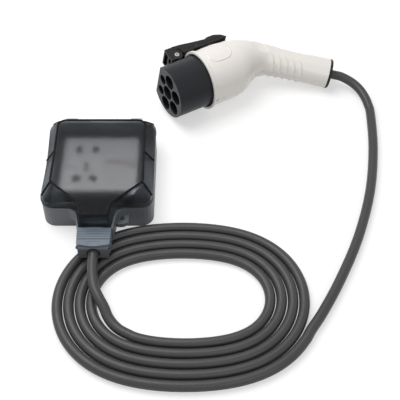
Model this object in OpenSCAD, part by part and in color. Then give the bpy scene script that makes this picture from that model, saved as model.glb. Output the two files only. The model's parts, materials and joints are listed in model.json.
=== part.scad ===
// Vehicle-to-load adapter: seven-way AC vehicle plug, coiled cable, socket box.
// Millimetres. The plug lies on its side, the box on its back.

/* [Places] */
// Plug face centre, left to right
gun_x = -32; // [-37:1:-22]
// Plug face centre, front to back
gun_y = 60; // [54:1:76]
// Direction the plug points back to
gun_yaw = 32; // [25:1:40]
// Roll of the plug about its own nose
gun_roll = 12; // [5:1:18]
// Box centre, left to right
box_x = -98; // [-108:1:-93]
// Box centre, front to back
box_y = -38; // [-40:1:-30]

/* [Nose] */
// Diameter of the plug nose
nose_d = 57; // [56:0.5:60]
// Length of the nose in front of the collar
nose_len = 38; // [34:1:44]
// Height of the coding flat above the axis
flat_h = 20.4; // [20:0.1:22]
// Length of the coding flat
flat_len = 11; // [8:1:16]
// Height of the key behind the flat
key_h = 26; // [24:0.5:27.5]
// Distance between neighbouring power contacts
contact_pitch = 17.5; // [17:0.1:18]
// Diameter of a power well
well_d = 15.8; // [14:0.1:16]
// Diameter of a signal well
signal_well_d = 11; // [9:0.1:11.4]
// Height of the signal wells above the axis
signal_rise = 11.9; // [11.6:0.1:12.2]
// Depth of all wells
well_depth = 34; // [28:1:36]
// Diameter of a power pin
power_pin_d = 6; // [5:0.1:7]
// Diameter of a signal pin
signal_pin_d = 3; // [2:0.1:4]
// Depth of the power pin tips below the face
power_tip_depth = 5.4; // [4.8:0.1:9]
// Depth of the signal pin tips below the face
signal_tip_depth = 12; // [9:0.5:16]
// Length of an insulating tip
tip_len = 3; // [2:0.5:5]
// Depth of a pin's seat behind its well
pin_seat = 10; // [6:1:14]

/* [Plug body] */
// Height of the collar lip above the body
collar_rise = 1.5; // [1:0.1:2]
// Length of the collar lip
collar_len = 14; // [10:1:16]
// Radius of the body behind the collar
body_r = 31.5; // [30.5:0.1:32]
// Wall of the body halves
shell_wall = 2.5; // [2:0.1:3.5]
// Angle of the handle below the nose axis
grip_angle = 40; // [36:1:44]
// Radius of the handle at its end
grip_r = 16.5; // [15.5:0.1:17.5]
// Length of the handle axis
grip_len = 81; // [76:1:90]
// Thickness of the black end ring
end_ring_t = 3; // [2:0.5:4]
// Height of the raised outlines and ridges
relief = 0.8; // [0.3:0.1:1]
// Number of finger ridges
ridge_count = 5; // [3:1:6]
// Distance between finger ridges
ridge_pitch = 8; // [7:0.5:10]
// Diameter of a half screw
shell_screw_d = 4; // [3:0.5:5]

/* [Latch] */
// Half width of the lever and its hook
latch_half = 11; // [10:0.5:12]
// Place of the lever pivot behind the face
pivot_a = 57; // [56:0.5:60]
// Height of the lever pivot above the body
pivot_rise = 5.8; // [5.5:0.1:6.1]
// Diameter of the pivot pin
pivot_d = 3; // [2.4:0.1:3.2]
// Wall of the lever
lever_wall = 2; // [1.6:0.1:2.4]
// Thickness of a bracket ear
ear_t = 2.5; // [2:0.1:3]
// Diameter of the hook screw head
hook_screw_d = 5.2; // [4:0.1:6]

/* [Cable] */
// Diameter of the cable
cable_d = 10; // [9:0.1:10.4]
// Distance between turns of the coil
turn_pitch = 10.6; // [10.6:0.1:11.2]
// Coil centre, left to right
coil_x = -12; // [-15:1:-9]
// Coil centre, front to back
coil_y = -186; // [-190:1:-184]
// Half length that the coil is drawn out by
coil_long = 40; // [36:1:42]
// Half height that the coil is drawn out by
coil_tall = 10; // [8:1:12]
// Radius of the first turn at its start
coil_r = 37; // [37:0.5:38]

/* [Box] */
// Width of the lid
lid_w = 112; // [108:1:116]
// Height of the lid without its tail
lid_h = 114; // [110:1:118]
// Corner radius of the lid
lid_corner = 12.4; // [10:0.2:14]
// Depth of the waist in each side
waist = 2.4; // [1:0.1:3]
// Wall of the lid
lid_wall = 2.2; // [1.8:0.1:2.6]
// Height of the base
base_h = 27; // [25:0.5:30]
// Wall of the base
base_wall = 2.4; // [2:0.1:3]
// Floor of the base
base_floor = 3; // [2.4:0.1:4]
// Thickness of the gasket
seal_t = 0.9; // [0.8:0.1:1.2]
// Height of the lid above the base
lid_rise = 17.2; // [15:0.2:20]
// Width of the window
window_w = 90.6; // [86:0.2:92]
// Border above the window
window_top = 10.5; // [9:0.5:13]
// Underside of the neck above the floor
neck_z = 11.2; // [10.6:0.1:12]
// End of the neck below the box centre
neck_end = 105; // [104:1:112]
// Half width of the neck under the clip
neck_half = 14.2; // [13:0.1:14.6]
// End of the lid's tail below the box centre
tail_end = 81.3; // [80:0.1:83]
// Diameter of the hanging hole
lug_hole_d = 6.1; // [5:0.1:7]
// Thickness of the hanging lug
lug_t = 5; // [4:0.5:6]

/* [Hinges] */
// Radius of a lid knuckle
knuckle_r = 3; // [2.6:0.1:3.2]
// Diameter of the lid hinge pins
hinge_pin_d = 3; // [2:0.1:3.4]
// Distance of the lid hinge behind the base
hinge_out = 4; // [3.8:0.1:5]
// Depth of the lid hinge below the base's top
hinge_drop = 3; // [3:0.1:4]
// Wall of the clip
clip_wall = 2.3; // [2:0.1:2.6]
// Diameter of the clip pins
clip_pin_d = 3; // [2:0.1:3.4]
// Distance of the clip pivot from the neck's end
clip_pivot_in = 3; // [2.6:0.1:4]

/* [Socket] */
// Width of the socket plate
plate_w = 76; // [72:1:86]
// Height of the socket plate
plate_h = 74; // [70:1:82]
// Thickness of the socket plate
plate_t = 3; // [2:0.5:4]
// Width of the rocker
rocker_w = 17; // [15:0.5:18]
// Length of the rocker
rocker_l = 30; // [26:0.5:32]
// Tilt of the rocker to each side
rocker_tilt = 5; // [3:0.5:6]

/* [Fits] */
// Radial clearance of a pin that turns
run_gap = 0.05; // [0.02:0.01:0.1]
// Clearance between parts that are seated
seat_gap = 0.05; // [0.02:0.01:0.1]
// Clearance between parts that move past each other
move_gap = 0.4; // [0.3:0.05:0.6]

/* [Hidden] */
$fn = 48;
eps = 0.01;
nose_r = nose_d / 2;
well_r = well_d / 2;
cable_r = cable_d / 2;
shell_start = nose_len + 2;
collar_r = body_r + collar_rise;
pivot_u = body_r + pivot_rise;
barrel_end = shell_start + collar_len + 4;
// The barrel clears the faceted wall round it.
barrel_r = 0.99 * (body_r - shell_wall) - seat_gap;
grip_base = [shell_start + 79.8, -2.1];
grip_dir = [cos(grip_angle), -sin(grip_angle)];
grip_up = [sin(grip_angle), cos(grip_angle)];
grip_end = grip_base + grip_len * grip_dir;
// Nose-up pitch at which both the collar and the handle's end touch the floor.
rest_span = grip_end[0] - shell_start - collar_len;
gun_pitch = asin((collar_r + grip_end[1] * sin(gun_roll) - 0.985 * grip_r) / rest_span);
gun_z = collar_r * cos(gun_pitch) + (shell_start + collar_len) * sin(gun_pitch);

seal_top = base_h + seal_t;
lid_z = seal_top + 0.3;
lid_top = base_h + lid_rise + 1.2;
base_half_w = lid_w / 2 - waist / 2;
base_top_y = lid_h / 2 - 1;
base_low_y = -lid_h / 2;
hinge_y = base_top_y + hinge_out;
hinge_z = base_h - hinge_drop;
hinge_half = lid_w / 2 - 9;
neck_mid = (neck_z + base_h) / 2;
clip_y = -neck_end + clip_pivot_in;
clip_z = base_h - clip_pin_d;
plate_z = base_h + 4;
core_top = plate_z - plate_t;
plate_screw_x = plate_w / 2 - 7;
socket_x = -14;
rocker_x = 15;
rocker_y = -8;
rocker_z = plate_z - 2;
// Power wells: middle row, then bottom row, as [height, side].
row_drop = contact_pitch * sin(60);
POWER = [[0, 0], [0, contact_pitch], [0, -contact_pitch]];
EMPTY = [[-row_drop, contact_pitch / 2], [-row_drop, -contact_pitch / 2]];
SIGNAL = [[signal_rise, contact_pitch / 2], [signal_rise, -contact_pitch / 2]];

// Shared shapes.

function unit(v) = v / norm(v);
function flat2(v) = [v[0], v[1]];
function fillet(a, b, c, r, n) =
  let (u = unit(a - b), w = unit(c - b), half = acos(u * w) / 2)
  let (m = b + unit(u + w) * r / sin(half), p = b + u * r / tan(half), q = b + w * r / tan(half))
  let (s = atan2(p[1] - m[1], p[0] - m[0]), e = atan2(q[1] - m[1], q[0] - m[0]))
  let (turn = (e - s + 540) % 360 - 180)
  [for (i = [0:n]) m + r * [cos(s + turn * i / n), sin(s + turn * i / n)]];
// Outline through corners [x, y, radius].
function rounded(p, n = 5) = [
  for (i = [0:len(p) - 1])
    each fillet(
      flat2(p[(i + len(p) - 1) % len(p)]), flat2(p[i]), flat2(p[(i + 1) % len(p)]), p[i][2], n)
];
function mirrored(p) = concat(p, [for (i = [len(p) - 1:-1:0]) [-p[i][0], p[i][1], p[i][2]]]);
// Ring at height z, turned the way that skin expects.
function at_z(p, z) = [for (i = [len(p) - 1:-1:0]) [p[i][0], p[i][1], z]];

// Skin over rings that have the same number of points. Its ends are closed by
// one face, or by strips between mirrored points where the rings are bent inwards.
module skin(rings, strips = false) {
  n = len(rings[0]);
  m = len(rings);
  end = (m - 1) * n;
  polyhedron(
    points = [for (r = rings) each r],
    faces = concat(
      strips ? [for (j = [0:n / 2 - 2]) each [[j, j + 1, n - 2 - j], [j, n - 2 - j, n - 1 - j]]]
        : [[for (j = [0:n - 1]) j]],
      [for (i = [0:m - 2], j = [0:n - 1])
        each [
          [i * n + j, (i + 1) * n + j, (i + 1) * n + (j + 1) % n],
          [i * n + j, (i + 1) * n + (j + 1) % n, i * n + (j + 1) % n]
        ]],
      strips ? [for (j = [0:n / 2 - 2])
        each [[end + j, end + n - 2 - j, end + j + 1], [end + j, end + n - 1 - j, end + n - 2 - j]]]
        : [[for (j = [n - 1:-1:0]) end + j]]
    ),
    convexity = 6
  );
}

// Smooth path through hand-placed points, k steps to each.
function path_point(a, b, c, d, t) =
  0.5 * (2 * b + (c - a) * t + (2 * a - 5 * b + 4 * c - d) * t * t
  + (3 * b - a - 3 * c + d) * t * t * t);
function smooth_path(p, k) =
  let (q = concat([2 * p[0] - p[1]], p, [2 * p[len(p) - 1] - p[len(p) - 2]]))
  concat(
    [for (i = [1:len(p) - 1], j = [0:k - 1])
      path_point(q[i - 1], q[i], q[i + 1], q[i + 2], j / k)],
    [p[len(p) - 1]]
  );
// Round tube along a path that never runs straight up.
module tube(path, r, sides = 10) {
  m = len(path);
  rings = [for (i = [0:m - 1])
    let (t = unit(path[min(i + 1, m - 1)] - path[max(i - 1, 0)]))
    let (side = unit(cross(t, [0, 0, 1])), up = cross(side, t))
    [for (j = [0:sides - 1]) path[i] + r * (cos(360 * j / sides) * side + sin(360 * j / sides) * up)]
  ];
  skin(rings);
}

module rod_x(r, x0, x1, y = 0, z = 0) {
  translate([x0, y, z]) rotate([0, 90, 0]) cylinder(r = r, h = x1 - x0);
}
module rod_z(r, z0, z1, x = 0, y = 0) {
  translate([x, y, z0]) cylinder(r = r, h = z1 - z0);
}
module rod_y(r, y0, y1, x = 0, z = 0) {
  translate([x, y0, z]) rotate([-90, 0, 0]) cylinder(r = r, h = y1 - y0);
}
module slab(x0, x1, y0, y1, z0, z1) {
  translate([x0, y0, z0]) cube([x1 - x0, y1 - y0, z1 - z0]);
}
// Cross-recessed pan-head screw, head up, its seat at z = 0.
module screw(head_d, shank_d, length) {
  head_h = head_d * 0.36;
  difference() {
    union() {
      cylinder(r = head_d / 2, h = head_h);
      translate([0, 0, -length]) cylinder(r = shank_d / 2, h = length + eps);
    }
    for (a = [0, 90])
      rotate([0, 0, a])
        slab(-head_d * 0.3, head_d * 0.3, -head_d * 0.07, head_d * 0.07, head_h * 0.4, head_h + 1);
  }
}

module in_gun() {
  translate([gun_x, gun_y, gun_z]) rotate([gun_roll, gun_pitch, gun_yaw]) children();
}
module in_box() {
  translate([box_x, box_y, 0]) children();
}
// Handle frame: x runs down the handle from its root, y is its upper edge.
module in_grip() {
  translate([grip_base[0], grip_base[1], 0]) rotate([0, 0, -grip_angle]) children();
}

// Plug body: x back from the face, y up, z to the near side.

// Stations of the moulding as [back, up, tilt, half height, half width].
function grip_station(k, h, w) =
  [grip_base[0] + k * grip_dir[0], grip_base[1] + k * grip_dir[1], grip_angle, h, w];
STATIONS = [
  [shell_start, 0, 0, collar_r, collar_r],
  [shell_start + collar_len, 0, 0, collar_r, collar_r],
  [shell_start + collar_len + 2.2, 0, 0, body_r, body_r],
  [shell_start + 32, 0, 1, body_r - 0.1, body_r - 0.4],
  [shell_start + 45, 0.3, 5, body_r - 1, body_r - 1.8],
  [shell_start + 56, 0.3, 12, body_r - 4.2, body_r - 4.4],
  [shell_start + 67, -0.2, 21, body_r - 9, body_r - 8.2],
  [grip_base[0] - 2.5, -3, grip_angle - 9, grip_r + 1.8, grip_r + 3.6],
  grip_station(9, grip_r - 0.1, grip_r + 1.2),
  grip_station(24, grip_r - 0.9, grip_r - 0.1),
  grip_station(42, grip_r - 1.1, grip_r - 0.5),
  grip_station(60, grip_r - 0.4, grip_r - 0.2),
  grip_station(grip_len - end_ring_t, grip_r, grip_r)
];
function station_ring(s, grow, n = 44) = [
  for (i = [0:n - 1])
    let (v = (s[3] + grow) * sin(360 * i / n))
    [s[0] + v * sin(s[2]), s[1] + v * cos(s[2]), -(s[4] + grow) * cos(360 * i / n)]
];
function past(s, d) = [s[0] + d * cos(s[2]), s[1] - d * sin(s[2]), s[2], s[3], s[4]];
module body_form(grow, over = 0) {
  last = len(STATIONS) - 1;
  skin(concat(
    over > 0 ? [station_ring(past(STATIONS[0], -over), grow)] : [],
    [for (s = STATIONS) station_ring(s, grow)],
    over > 0 ? [station_ring(past(STATIONS[last], over), grow)] : []
  ));
}
// Outline of the raised panel on the near side, as [back, up, radius].
PANEL = [
  [46, 21, 3], [68, 22.5, 7], [76, 18, 9], [77.5, 4, 12], [68, -5.5, 10], [54, -4.5, 7],
  [47.5, 4, 8]
];
PANEL_MID = [62, 8.5];
module panel_outline() {
  translate(PANEL_MID)
    difference() {
      scale(1.05) translate(-PANEL_MID) polygon(rounded(PANEL));
      scale(0.96) translate(-PANEL_MID) polygon(rounded(PANEL));
    }
}
module ridges() {
  in_grip()
    for (i = [0:ridge_count - 1])
      translate([12 + i * ridge_pitch, 0, 0])
        intersection() {
          difference() {
            translate([-12, -grip_r + 1, -40]) cylinder(r = 15, h = 80);
            translate([-13.8, -grip_r + 1, -41]) cylinder(r = 15, h = 82);
          }
          slab(-4, 8, -grip_r + 2, -1, -40, 40);
        }
}
module body_half(side) {
  difference() {
    union() {
      body_form(0);
      intersection() {
        body_form(relief);
        union() {
          linear_extrude(40) panel_outline();
          ridges();
        }
      }
    }
    // The hollow, with columns left for the screws.
    difference() {
      body_form(-shell_wall, 3);
      for (s = SCREWS)
        translate([s[0], s[1], -40]) cylinder(r = shell_screw_d + 1.6, h = 80, $fn = 8);
    }
    slab(-50, 260, -120, 120, side > 0 ? -80 : 0, side > 0 ? 0 : 80);
  }
}
// Screws enter from the far side: place as [back, up].
SCREWS = [[88, -14], [104, 6], [152, -30]];
function screw_face(i) = i == 2 ? -grip_r + 3.4 : (i == 1 ? -body_r + 10 : -body_r + 10.5);
screw_hold = 6;
module screw_holes(deep) {
  for (i = [0:2])
    rod_z(shell_screw_d / 2 + seat_gap, screw_face(i) - 1, deep, SCREWS[i][0], SCREWS[i][1]);
}

module nose_block() {
  color("#2e3134") in_gun()
    difference() {
      union() {
        intersection() {
          rod_x(nose_r, 0, shell_start + 1);
          union() {
            slab(-1, flat_len, -40, flat_h, -40, 40);
            slab(flat_len - eps, shell_start + 2, -40, key_h, -40, 40);
          }
        }
        rod_x(barrel_r, shell_start, barrel_end);
      }
      for (w = concat(POWER, EMPTY)) rod_x(well_r, -1, well_depth, w[0], w[1]);
      for (w = SIGNAL) rod_x(signal_well_d / 2, -1, well_depth, w[0], w[1]);
      for (w = POWER)
        rod_x(power_pin_d / 2 + seat_gap, well_depth - 1, well_depth + pin_seat, w[0], w[1]);
      for (w = SIGNAL)
        rod_x(signal_pin_d / 2 + seat_gap, well_depth - 1, well_depth + pin_seat, w[0], w[1]);
      // Coding notch under the bottom row.
      translate([-1, 0, 0]) rotate([90, 0, 90]) linear_extrude(9)
        polygon(rounded([[-3, -25.4, 0.8], [3, -25.4, 0.8], [0, -20.4, 0.8]], 3));
    }
}
module pin(r, tip_depth, place) {
  in_gun() rod_x(r, tip_depth, well_depth + pin_seat, place[0], place[1]);
}
module tip(r, place) {
  in_gun() rod_x(r, power_tip_depth, power_tip_depth + tip_len, place[0], place[1]);
}
module pin_earth() { color("#c8b070") pin(power_pin_d / 2, power_tip_depth + tip_len, POWER[0]); }
module pin_live() { color("#c8c8c4") pin(power_pin_d / 2, power_tip_depth + tip_len, POWER[1]); }
module pin_neutral() { color("#c8c8c4") pin(power_pin_d / 2, power_tip_depth + tip_len, POWER[2]); }
module pin_signal_a() { color("#c8c8c4") pin(signal_pin_d / 2, signal_tip_depth, SIGNAL[0]); }
module pin_signal_b() { color("#c8c8c4") pin(signal_pin_d / 2, signal_tip_depth, SIGNAL[1]); }
module tip_earth() { color("white") tip(power_pin_d / 2 - 0.4, POWER[0]); }
module tip_live() { color("#1c1d1e") tip(power_pin_d / 2 - 0.4, POWER[1]); }
module tip_neutral() { color("#1c1d1e") tip(power_pin_d / 2 - 0.4, POWER[2]); }

module body_half_near() {
  color("#f2f2f0") in_gun()
    difference() {
      body_half(1);
      screw_holes(screw_hold + 1);
    }
}
module body_half_far() {
  color("#f2f2f0") in_gun()
    difference() {
      body_half(-1);
      for (i = [0:2])
        translate([SCREWS[i][0], SCREWS[i][1], -60]) cylinder(r = shell_screw_d, h = 60 + screw_face(i), $fn = 12);
      screw_holes(0);
    }
}
module shell_screw(i) {
  color("#8b8e92") in_gun()
    translate([SCREWS[i][0], SCREWS[i][1], screw_face(i)])
      rotate([180, 0, 0]) screw(shell_screw_d * 1.8, shell_screw_d, screw_hold - screw_face(i));
}
module shell_screw_1() { shell_screw(0); }
module shell_screw_2() { shell_screw(1); }
module shell_screw_3() { shell_screw(2); }
module end_ring() {
  color("#26282b") in_gun() in_grip()
    difference() {
      union() {
        rod_x(grip_r, grip_len - end_ring_t, grip_len - 1);
        rod_x(grip_r - 1, grip_len - 1 - eps, grip_len);
        rod_x(grip_r - shell_wall - 0.4, grip_len - end_ring_t - 6, grip_len - end_ring_t + eps);
      }
      rod_x(cable_r + 3, grip_len - 20, grip_len + 1);
    }
}
module handle_gland() {
  color("#202224") in_gun() in_grip()
    union() {
      rod_x(cable_r + 3 - seat_gap, grip_len - end_ring_t - 8, grip_len);
      rod_x(cable_r + 5, grip_len - end_ring_t - 12, grip_len - end_ring_t - 6 - seat_gap);
    }
}
module top_strip() {
  color("#2a2826") in_gun()
    intersection() {
      difference() {
        body_form(1);
        body_form(seat_gap);
      }
      slab(pivot_a + 14 + seat_gap, grip_base[0] - 1.8, 5, 60, -5, 5);
    }
}

// Latch.

// Latch frame: origin at the lever's pivot, axes as the plug's.
module in_latch() {
  in_gun() translate([pivot_a, pivot_u, 0]) children();
}
// Side profile of the lever, from its front top round to its front bottom.
LEVER = [
  [-27.6, 8.7, 0.8], [-17, 7.9, 6], [-3, 5.6, 20], [13, 3.6, 2], [16, 4.9, 2], [25, 5.1, 6],
  [33, 2.1, 4], [38.5, -2.9, 0.8], [37, -3.7, 0.4], [-18.4, -3.7, 0.5], [-20, 3.7, 0.5],
  [-27.6, 3.9, 0.5]
];
HOOK_EYE = [-26.4, -2.7];
module latch_lever() {
  pocket = latch_half - lever_wall;
  color("#33302e") in_latch()
    difference() {
      translate([0, 0, -latch_half]) linear_extrude(2 * latch_half) polygon(rounded(LEVER, 4));
      // Channel for the bracket.
      translate([0, 0, -pocket]) linear_extrude(2 * pocket)
        polygon([[-16, -4.3], [-16, 5.1], [-3, 3.3], [14, 1.3], [25, 1.7], [32, -0.7], [33, -4.3]]);
      rod_z(pivot_d / 2 + run_gap, -20, 20);
      // Light grooves along both sides.
      for (s = [-1, 1])
        translate([0, 0, s * latch_half - 0.3]) linear_extrude(0.6)
          polygon([[-15, -0.1], [31, -1.1], [31, -0.6], [-15, 0.4]]);
    }
}
module latch_hook() {
  color("#232527") in_latch()
    difference() {
      union() {
        slab(-36, -28, -8.1, 8.3, -latch_half, latch_half);
        slab(-36, -32.5, -10, -8.1 + eps, -6, 6);
        rod_z(6.4, -latch_half, latch_half, HOOK_EYE[0], HOOK_EYE[1]);
        slab(-31, -20.4, -3.5, 3.3, -latch_half + 0.6, latch_half - 0.6);
      }
      // Recess in the front that leaves the hook standing.
      slab(-37, -31.5, -4.3, 6.1, -latch_half + 2, -3);
      slab(-37, -31.5, 0.1, 6.1, -3 - eps, latch_half - 2.4);
      slab(-37, -33, -6.3, -2.3, 1.5, latch_half - 2.4);
      rod_z(hook_screw_d / 2 + 0.3, latch_half - 2, latch_half + 1, HOOK_EYE[0], HOOK_EYE[1]);
      rod_z(1.6, 0, latch_half, HOOK_EYE[0], HOOK_EYE[1]);
    }
}
module hook_screw() {
  color("#b9bcc0") in_latch()
    translate([HOOK_EYE[0], HOOK_EYE[1], latch_half - 2]) screw(hook_screw_d, 3, 8);
}
module latch_bracket() {
  ear = latch_half - lever_wall - move_gap - ear_t;
  color("#2a2c2f") in_latch()
    difference() {
      union() {
        slab(-1, 14, -10.3, -4.3, -ear - ear_t, ear + ear_t);
        for (s = [-ear - ear_t, ear]) {
          rod_z(2.7, s, s + ear_t);
          slab(-2.7, 2.7, -7.3, 0, s, s + ear_t);
        }
      }
      translate([-pivot_a, -pivot_u, 0]) body_form(seat_gap);
      rod_z(pivot_d / 2 + 0.02, -20, 20);
    }
}
module latch_pin() {
  color("#b9bcc0") in_latch() rod_z(pivot_d / 2, -latch_half + 0.3, latch_half - 0.3);
}
module latch_spring() {
  turns = 5;
  r = pivot_d / 2 + 0.8;
  color("#9fa3a8") in_latch() translate([0, 0, -3])
    tube_free([for (i = [0:turns * 10])
      [r * cos(36 * i), r * sin(36 * i), 6 * i / (turns * 10)]], 0.4, 6);
}
// Tube along a path that may point any way but straight along its own side axis.
module tube_free(path, r, sides) {
  m = len(path);
  skin([for (i = [0:m - 1])
    let (t = unit(path[min(i + 1, m - 1)] - path[max(i - 1, 0)]))
    let (out = unit([path[i][0], path[i][1], 0]), up = unit(cross(t, out)), side = cross(up, t))
    [for (j = [0:sides - 1]) path[i] + r * (cos(360 * j / sides) * side - sin(360 * j / sides) * up)]
  ]);
}

// Cable.

coil_start = 250;
coil_stop = 1770;
function coil_point(a, off = 0) =
  let (c = cos(a), s = sin(a), m = sqrt(pow(coil_long * c, 2) + pow(coil_tall * s, 2)))
  let (r = coil_r + turn_pitch * (a - coil_start) / 360 + off)
  [coil_x + pow(coil_long, 2) * c / m + r * c, coil_y + pow(coil_tall, 2) * s / m + r * s];
function on_floor(p) = [p[0], p[1], cable_r];
// Hand-placed route of the lead, from the handle to the coil.
LEAD = [
  [162.5, 108.2, 14.8], [173, 102.5, 12.4], [181.4, 94, 10], [187, 83, 7.8],
  [190, 71, 6], [191, 57, 5], [187.5, 6, 5], [177, -54, 5], [158, -114, 5], [135, -165, 5],
  [116, -200, 5]
];
// Hand-placed route of the tail, from the box to the coil.
TAIL = [
  [-98, -156, 19], [-97.1, -169, 18.6], [-94.4, -181.5, 16.6], [-89.4, -191.5, 14.6]
];
// Where the tail comes down along the inside of the coil, as [angle, height].
TAIL_DOWN = [[201, 11.8], [213, 8.8], [225, 6.6], [237, 5.4]];
// Gap between a cable end and the piece that it leaves.
cable_gap = 0.3;
module cord_lead() {
  exit = [for (d = [cable_gap, 6]) gun_point(concat(grip_end + d * grip_dir, [0]))];
  last = [for (a = [8, 0.4]) on_floor(coil_point(coil_stop + a, cable_gap + a / 20))];
  color("#3a3b3d") tube(smooth_path(concat(exit, LEAD, last), 4), cable_r);
}
module cord_tail() {
  start = [box_x, box_y - neck_end - cable_gap, neck_mid];
  down = [for (d = TAIL_DOWN) concat(coil_point(d[0], -0.5), [d[1]])];
  stop = on_floor(coil_point(coil_start - 0.6, -cable_gap));
  color("#3a3b3d") tube(smooth_path(concat([start], TAIL, down, [stop]), 3), cable_r);
}
module cord_coil() {
  step = 7.5;
  color("#3a3b3d")
    difference() {
      linear_extrude(cable_d)
        polygon([for (a = [coil_stop - 360:step:coil_stop]) coil_point(a, cable_r)]);
      translate([0, 0, -1]) linear_extrude(cable_d + 2)
        polygon([for (a = [coil_start:step:coil_start + 360]) coil_point(a, -cable_r)]);
    }
}
// Place of a plug point in the room, by the same three turns as in_gun.
function gun_point(p) =
  let (a = [p[0], p[1] * cos(gun_roll) - p[2] * sin(gun_roll),
    p[1] * sin(gun_roll) + p[2] * cos(gun_roll)])
  let (b = [a[0] * cos(gun_pitch) + a[2] * sin(gun_pitch), a[1],
    a[2] * cos(gun_pitch) - a[0] * sin(gun_pitch)])
  [gun_x + b[0] * cos(gun_yaw) - b[1] * sin(gun_yaw),
   gun_y + b[0] * sin(gun_yaw) + b[1] * cos(gun_yaw), gun_z + b[2]];

// Box: x across, y up to the hinge, z out of the face.

// Lid outline, drawn in by i.
function lid_edge(i) = rounded(mirrored([
  [lid_w / 2 - i, lid_h / 2 - i, lid_corner - i],
  [lid_w / 2 - waist - i, 0, 500],
  [lid_w / 2 - i, -lid_h / 2 + i, lid_corner - i],
  [19.8 - i, -lid_h / 2 - 0.6 + i, 11 + i],
  [15.6 - i, -tail_end + i, 1.2]
]));
// Window outline, drawn in by i.
function window_edge(i) = rounded(mirrored([
  [window_w / 2 - i, lid_h / 2 - window_top - i, 9],
  [window_w / 2 - i - waist / 4, 0, 900],
  [window_w / 2 - i, -37.5 + i * 0.4, 7],
  [15.2 - i, -64.5 + i * 0.4, 9],
  [12.6 - i, -tail_end + 2.4 + i, 1.2]
]));
module lid_form(grow) {
  skin([
    at_z(lid_edge(-grow), lid_z + (grow < 0 ? -1 : 0)),
    at_z(lid_edge(-grow), lid_z + 3.6),
    at_z(lid_edge(1.2 - grow), lid_z + 5.4 + grow * 0.4),
    at_z(window_edge(-1.4 - grow), lid_top - 1.2 + grow * 0.8),
    at_z(window_edge(-grow), lid_top + grow)
  ], true);
}
// Directions of the stiffening ribs as [x, y, angle].
function lid_ribs() = [
  [15.4, 50, 90], [50, 2, 0], [50, 51.5, 45], [48, -47.5, -45]
];
module lid() {
  color("#3c4046", 0.85) in_box()
    difference() {
      union() {
        difference() {
          lid_form(0);
          lid_form(-lid_wall);
        }
        intersection() {
          lid_form(-0.5);
          union() {
            // Rim under the window's outline.
            translate([0, 0, lid_top - 7]) linear_extrude(6) difference() {
              polygon(window_edge(0));
              polygon(window_edge(1.2));
            }
            for (r = lid_ribs(), s = [-1, 1])
              translate([s * r[0], r[1], lid_z + 1]) rotate([0, 0, s > 0 ? r[2] : 180 - r[2]])
                slab(-6.5, 6.5, -0.6, 0.6, 2, 16);
          }
        }
        // Knuckles and the arms that carry them.
        for (x = [7 - hinge_half, hinge_half - 19]) {
          rod_x(knuckle_r, x, x + 12, hinge_y, hinge_z);
          slab(x, x + 12, hinge_y - knuckle_r, hinge_y + knuckle_r - 0.1, hinge_z, lid_z + 3);
        }
      }
      rod_x(hinge_pin_d / 2 + run_gap, -60, 60, hinge_y, hinge_z);
    }
}
module base_plan(i) {
  polygon(rounded(mirrored([
    [base_half_w - i, base_top_y - i, lid_corner - i], [base_half_w - i, base_low_y + i, lid_corner - i]
  ])));
}
module neck_plan() {
  polygon(rounded(mirrored([
    [34, base_low_y + 6, 1], [34, base_low_y, 1], [21.2, base_low_y, 10], [17.2, -neck_end + 23.3, 1]
  ])));
}
module lug_plan() {
  polygon(rounded([
    [14, -50, 1], [30.9, -50, 1], [31.3, -69.9, 6.5], [20.5, -69.9, 2], [14, -62, 1]
  ]));
}
lug_at = [24.5, -63.4];
lug_z = 14;
module box_base() {
  color("#5a5e63") in_box()
    difference() {
      union() {
        linear_extrude(base_h) base_plan(0);
        translate([0, 0, neck_z]) linear_extrude(base_h - neck_z) neck_plan();
        // End of the neck, round about the clip's pivot.
        slab(-neck_half, neck_half, clip_y, -neck_end + 24, neck_z, base_h);
        slab(-neck_half, neck_half, -neck_end, clip_y + eps, neck_z, clip_z);
        rod_x(min(clip_pivot_in, base_h - clip_z), -neck_half, neck_half, clip_y, clip_z);
        translate([0, 0, lug_z]) linear_extrude(lug_t) lug_plan();
        rod_z(lug_hole_d / 2 + 1.6, lug_z, lug_z + lug_t + 0.8, lug_at[0], lug_at[1]);
        // Hinge knuckles, clear of the lid's.
        for (x = [-hinge_half, 19 - hinge_half + move_gap, hinge_half - 25.6 - move_gap, hinge_half - 7 + move_gap]) {
          rod_x(knuckle_r, x, x + 6.6, hinge_y, hinge_z);
          slab(x, x + 6.6, base_top_y - 1, hinge_y, hinge_z - knuckle_r, hinge_z + knuckle_r);
        }
      }
      translate([0, 0, base_floor]) linear_extrude(base_h) base_plan(base_wall);
      // Channel of the neck, with two posts left for the clamp.
      difference() {
        slab(-11.5, 11.5, -neck_end + 24, base_low_y + base_wall + 1, neck_z + 2.2, base_h + 1);
        for (s = [-1, 1]) slab(s * 9.5 - 2.5, s * 9.5 + 2.5, -75, -67, 0, clamp_z);
      }
      rod_y(gland_r + seat_gap, -neck_end - 1, -neck_end + 25, 0, neck_mid);
      rod_z(lug_hole_d / 2, 0, base_h, lug_at[0], lug_at[1]);
      rod_x(hinge_pin_d / 2 + 0.02, -60, 60, hinge_y, hinge_z);
      for (s = [-1, 1])
        rod_x(clip_pin_d / 2 + 0.02, s > 0 ? 9 : -20, s > 0 ? 20 : -9, clip_y, clip_z);
      for (s = [-1, 1]) rod_z(1.3, clamp_z - 8, clamp_z + 1, s * 8.6, -71);
    }
}
clamp_z = 22.5;
gland_r = cable_r + 1.4;
module box_seal() {
  color("#2b2b2b") in_box()
    translate([0, 0, base_h]) linear_extrude(seal_t)
      difference() {
        base_plan(0.4);
        base_plan(base_wall - 0.3);
      }
}
module box_gland() {
  color("#202224") in_box()
    union() {
      rod_y(gland_r, -neck_end, -neck_end + 20, 0, neck_mid);
    }
}
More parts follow.
